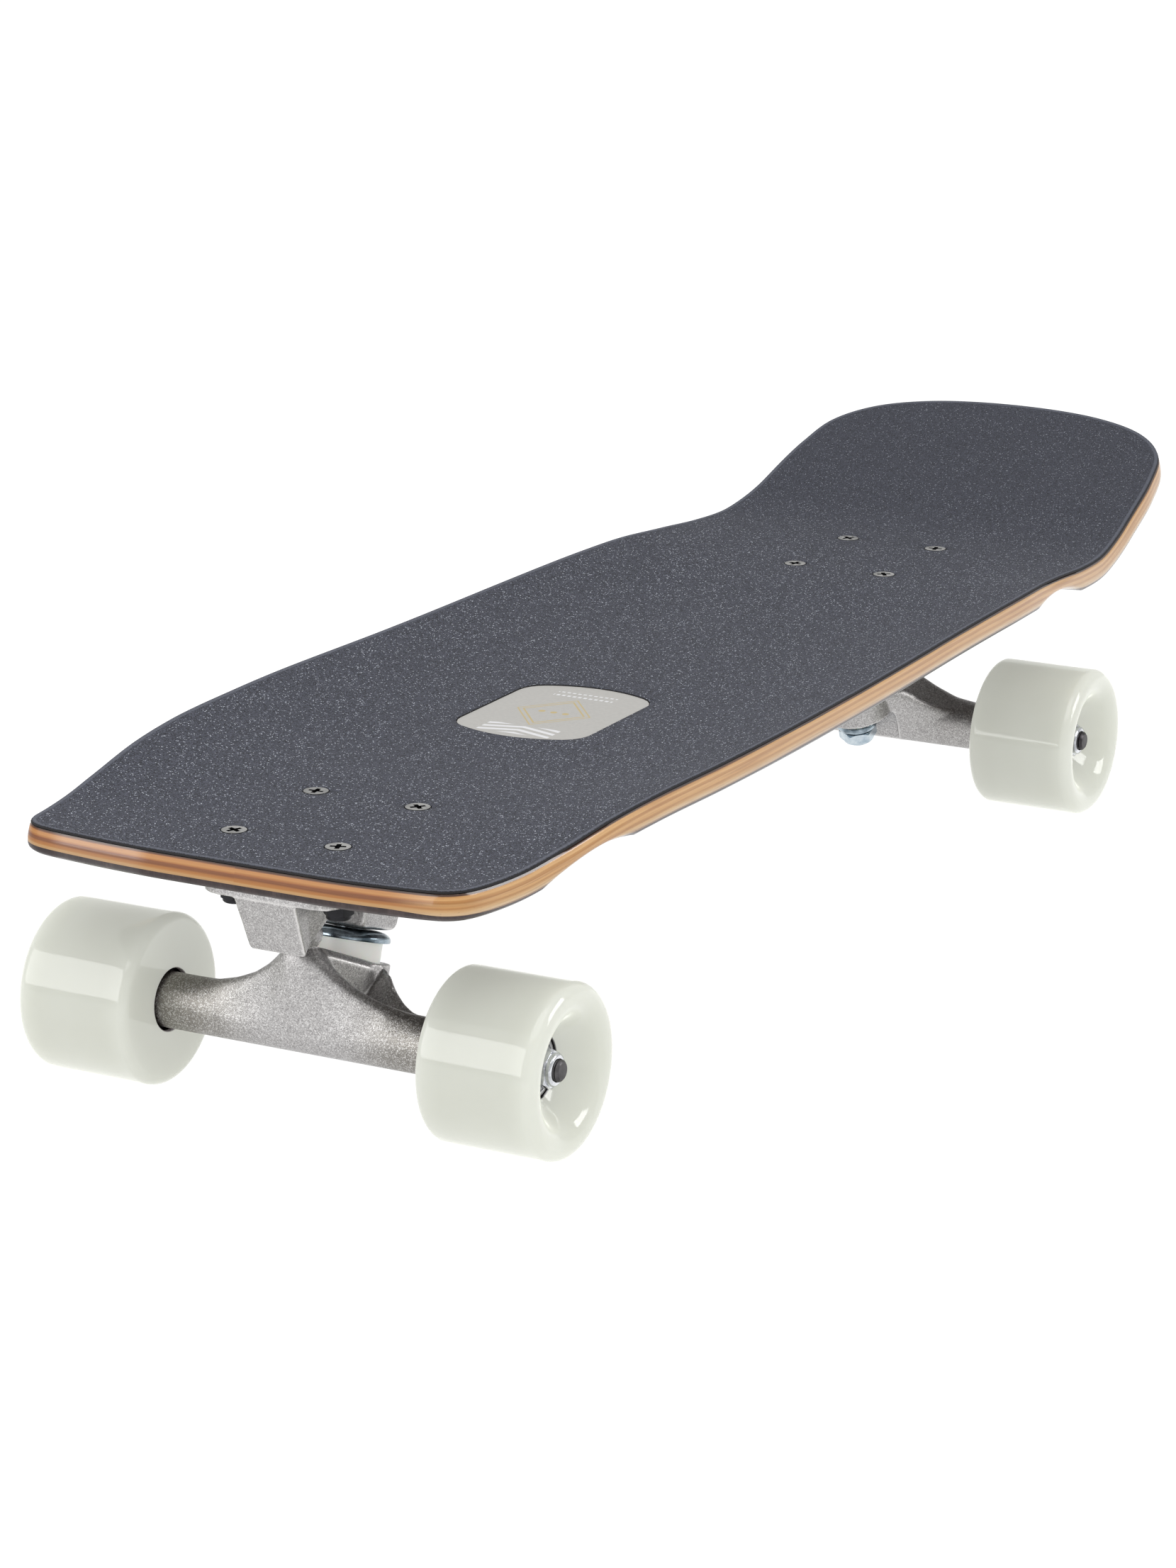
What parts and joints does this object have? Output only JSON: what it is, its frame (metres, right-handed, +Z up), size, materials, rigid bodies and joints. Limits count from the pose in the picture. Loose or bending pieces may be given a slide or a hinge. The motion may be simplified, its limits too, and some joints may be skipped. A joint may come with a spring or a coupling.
{
  "type": "cruiser skateboard",
  "caption": "Short wide cruiser skateboard with a kicktail deck covered in griptape, cast trucks with sprung steering and soft spinning wheels.",
  "frame": {"origin": "on the floor under the middle of the board's length", "axes": "+X along the board to the nose, +Y to the left seen from behind, +Z up; the wheels stand on Z = 0"},
  "size_m": [0.6758, 0.2082, 0.1394],
  "materials": {
    "maple": "clear-coated laminated maple",
    "griptape": "abrasive grit sheet",
    "label": "matt printed film",
    "bolt_steel": "bright zinc",
    "black_oxide": "black oxide",
    "cast_aluminium": "raw casting",
    "zinc": "blue zinc plate",
    "bushing_urethane": "white urethane",
    "pivot_urethane": "black urethane",
    "axle_steel": "turned steel",
    "wheel_urethane": "glossy milky urethane",
    "bearing_steel": "ground steel",
    "nut_chrome": "bright plate"
  },
  "bodies": {
    "board": {"deck": "maple", "griptape": "griptape", "deck_label": "label", "bolt_front_1": "bolt_steel", "locknut_front_1": "black_oxide", "bolt_front_2": "bolt_steel", "locknut_front_2": "black_oxide", "bolt_front_3": "bolt_steel", "locknut_front_3": "black_oxide", "bolt_front_4": "bolt_steel", "locknut_front_4": "black_oxide", "baseplate_front": "cast_aluminium", "pivot_cup_front": "pivot_urethane", "kingpin_front": "zinc", "kingpin_nut_front": "zinc", "bushing_board_front": "bushing_urethane", "bushing_road_front": "bushing_urethane", "washer_board_front": "zinc", "washer_road_front": "zinc", "bolt_rear_1": "bolt_steel", "locknut_rear_1": "black_oxide", "bolt_rear_2": "bolt_steel", "locknut_rear_2": "black_oxide", "bolt_rear_3": "bolt_steel", "locknut_rear_3": "black_oxide", "bolt_rear_4": "bolt_steel", "locknut_rear_4": "black_oxide", "baseplate_rear": "cast_aluminium", "pivot_cup_rear": "pivot_urethane", "kingpin_rear": "zinc", "kingpin_nut_rear": "zinc", "bushing_board_rear": "bushing_urethane", "bushing_road_rear": "bushing_urethane", "washer_board_rear": "zinc", "washer_road_rear": "zinc"},
    "front_hanger": {"hanger_front": "cast_aluminium", "axle_front": "axle_steel", "spacer_front_left": "bearing_steel", "axle_nut_front_left": "nut_chrome", "spacer_front_right": "bearing_steel", "axle_nut_front_right": "nut_chrome"},
    "rear_hanger": {"hanger_rear": "cast_aluminium", "axle_rear": "axle_steel", "spacer_rear_left": "bearing_steel", "axle_nut_rear_left": "nut_chrome", "spacer_rear_right": "bearing_steel", "axle_nut_rear_right": "nut_chrome"},
    "front_left_wheel": {"wheel_front_left": "wheel_urethane", "bearing_inner_front_left": "bearing_steel", "bearing_outer_front_left": "bearing_steel"},
    "front_right_wheel": {"wheel_front_right": "wheel_urethane", "bearing_inner_front_right": "bearing_steel", "bearing_outer_front_right": "bearing_steel"},
    "rear_left_wheel": {"wheel_rear_left": "wheel_urethane", "bearing_inner_rear_left": "bearing_steel", "bearing_outer_rear_left": "bearing_steel"},
    "rear_right_wheel": {"wheel_rear_right": "wheel_urethane", "bearing_inner_rear_right": "bearing_steel", "bearing_outer_rear_right": "bearing_steel"}
  },
  "joints": [
    {"name": "front_steer", "type": "hinge", "parent": "board", "child": "front_hanger", "pos_m": [0.26759, 0, 0.0427], "axis": [0.7431, 0, 0.6691], "range_deg": [-15, 15], "stiffness_Nm_per_rad": 60, "deforming": ["bushing_board_front", "bushing_road_front"]},
    {"name": "front_left_spin", "type": "hinge", "parent": "front_hanger", "child": "front_left_wheel", "pos_m": [0.28849, 0.0803, 0.031], "axis": [0, 1, 0], "continuous": true},
    {"name": "front_right_spin", "type": "hinge", "parent": "front_hanger", "child": "front_right_wheel", "pos_m": [0.28849, -0.0803, 0.031], "axis": [0, 1, 0], "continuous": true},
    {"name": "rear_steer", "type": "hinge", "parent": "board", "child": "rear_hanger", "pos_m": [-0.16109, 0, 0.0427], "axis": [-0.7431, 0, 0.6691], "range_deg": [-15, 15], "stiffness_Nm_per_rad": 60, "deforming": ["bushing_board_rear", "bushing_road_rear"]},
    {"name": "rear_left_spin", "type": "hinge", "parent": "rear_hanger", "child": "rear_left_wheel", "pos_m": [-0.18199, 0.0803, 0.031], "axis": [0, 1, 0], "continuous": true},
    {"name": "rear_right_spin", "type": "hinge", "parent": "rear_hanger", "child": "rear_right_wheel", "pos_m": [-0.18199, -0.0803, 0.031], "axis": [0, 1, 0], "continuous": true}
  ]
}
